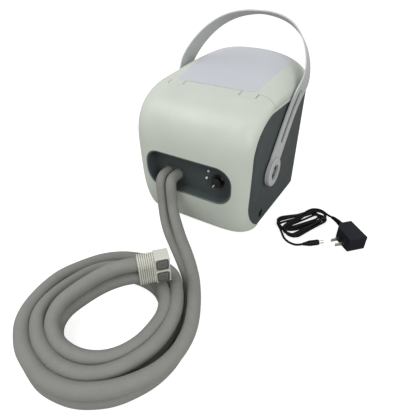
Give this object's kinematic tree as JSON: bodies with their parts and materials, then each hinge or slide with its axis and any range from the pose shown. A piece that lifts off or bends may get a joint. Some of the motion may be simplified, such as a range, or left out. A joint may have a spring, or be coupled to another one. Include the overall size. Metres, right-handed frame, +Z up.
{
  "type": "hot cold therapy machine",
  "caption": "Cube-shaped ice water therapy unit with lift-off lid, carrying strap handle, front dial, lamps, twin hose with quick couplings and a plug-in power supply.",
  "frame": {"origin": "centre of the bounding box of the machine, without its hoses and power supply, at the floor plane", "axes": "+Z up, -Y out of the front face with the dial, +X to the right of a person facing the front"},
  "size_m": [0.4243, 0.6281, 0.3297],
  "materials": {
    "shell": "satin light grey-green moulding",
    "panel": "matt dark grey moulding",
    "strap": "satin mid grey moulding",
    "rubber_dark": "matt black rubber",
    "hose": "matt grey hose",
    "black": "matt black",
    "grey_light": "satin off-white",
    "latch": "satin grey",
    "white_lens": "diffusing white",
    "film": "smooth pale film",
    "tank": "smooth white",
    "foam": "closed-cell foam",
    "board": "green laminate",
    "metal": "brushed",
    "plated": "plated",
    "copperish": "plated brass"
  },
  "bodies": {
    "housing": {"adapter_blades": "plated", "adapter_case": "black", "back_panel": "panel", "base_plate": "panel", "board_components": "black", "board_posts": "panel", "control_board": "board", "cord_hank": "black", "cord_run": "black", "coupling_sleeve": "grey_light", "dc_inlet": "black", "dc_inlet_pin": "plated", "feet": "rubber_dark", "front_shell": "shell", "hose_coil": "hose", "hose_gland": "rubber_dark", "hose_return": "hose", "hose_supply": "hose", "indicator_lamps": "white_lens", "motor_shaft": "metal", "pivot_boss_left": "panel", "pivot_boss_right": "panel", "pivot_screw_left": "black", "pivot_screw_right": "black", "plug_barrel": "plated", "plug_cord": "black", "plug_grip": "black", "pump_bracket": "black", "pump_housing": "black", "pump_motor": "metal", "recess_tub": "panel", "reservoir": "tank", "return_pipe": "black", "rotary_switch": "black", "side_panel_left": "panel", "side_panel_right": "panel", "socket_lower": "grey_light", "socket_upper": "grey_light", "strain_relief": "black", "strainer": "grey_light", "suction_pipe": "black", "supply_pipe": "black", "tank_insulation": "foam", "tank_supports": "foam"},
    "handle": {"handle_strap": "strap"},
    "lid": {"lid_shell": "shell", "lid_liner": "tank", "lid_insulation": "foam", "lid_gasket": "rubber_dark", "lid_label": "film"},
    "knob": {"knob": "black"},
    "impeller": {"impeller": "grey_light"},
    "latch_lower": {"latch_lower": "latch"},
    "latch_upper": {"latch_upper": "latch"}
  },
  "joints": [
    {"name": "handle_swing", "type": "hinge", "parent": "housing", "child": "handle", "pos_m": [0, -0.04067, 0.1001], "axis": [1, 0, 0], "range_deg": [-53, 126]},
    {"name": "lid_lift", "type": "slide", "parent": "housing", "child": "lid", "axis": [0, 0, 1], "range_m": [0, 0.022]},
    {"name": "knob_turn", "type": "hinge", "parent": "housing", "child": "knob", "pos_m": [0.0495, -0.11747, 0.095], "axis": [0, 1, 0], "range_deg": [0, 300]},
    {"name": "impeller_spin", "type": "hinge", "parent": "housing", "child": "impeller", "pos_m": [-0.0295, -0.07747, 0.034], "axis": [0, 1, 0], "continuous": true},
    {"name": "latch_lower_press", "type": "slide", "parent": "housing", "child": "latch_lower", "axis": [-0.7314, 0.682, 0], "range_m": [0, 0.002], "stiffness_N_per_m": 600, "springref_m": -0.001},
    {"name": "latch_upper_press", "type": "slide", "parent": "housing", "child": "latch_upper", "axis": [-0.7314, 0.682, 0], "range_m": [0, 0.002], "stiffness_N_per_m": 600, "springref_m": -0.001}
  ]
}
